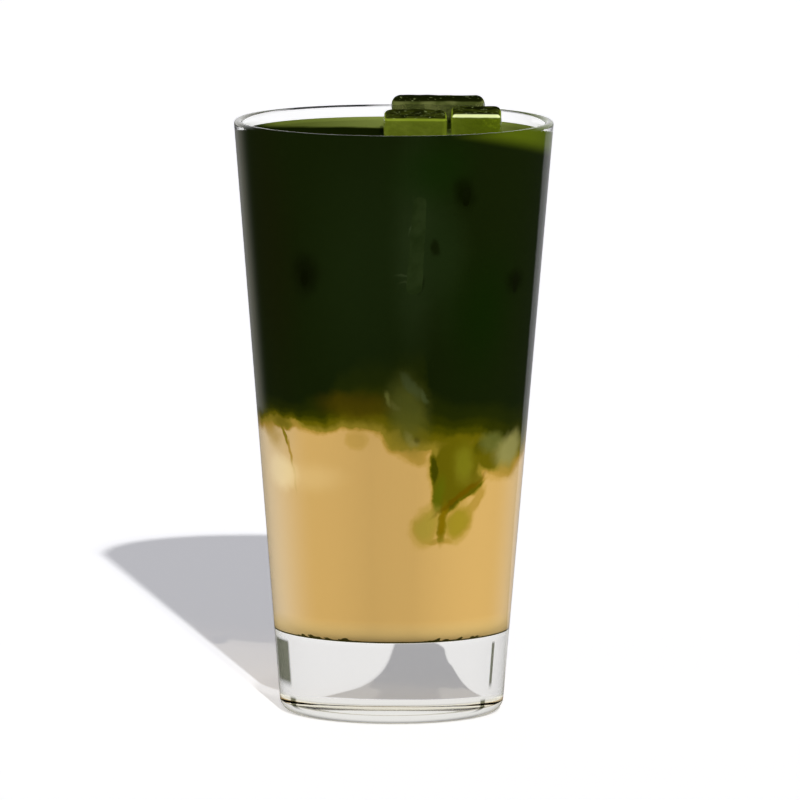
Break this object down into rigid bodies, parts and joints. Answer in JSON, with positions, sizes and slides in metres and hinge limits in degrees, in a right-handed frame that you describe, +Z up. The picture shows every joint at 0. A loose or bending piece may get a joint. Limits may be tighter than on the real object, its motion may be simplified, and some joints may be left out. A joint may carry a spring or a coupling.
{
  "type": "iced matcha lemonade in a glass",
  "caption": "Layered cold drink in a tall, flaring clear tumbler with a thick solid base: dark green matcha sinking into pale lemonade, with blocks of ice at the brim.",
  "frame": {"origin": "centre of the glass's foot, on the surface that it stands on", "axes": "+Z up along the glass's axis, -Y towards the front of the drink, +X to its right"},
  "size_m": [0.0832, 0.0832, 0.1591],
  "materials": {
    "clear_glass": "polished clear glass",
    "matcha": "cloudy liquid",
    "lemonade": "cloudy liquid",
    "ice": "wet melting ice"
  },
  "bodies": {
    "root": {"glass": "clear_glass", "matcha": "matcha", "lemonade": "lemonade", "ice_back": "ice", "ice_right": "ice", "ice_left": "ice"}
  },
  "joints": []
}
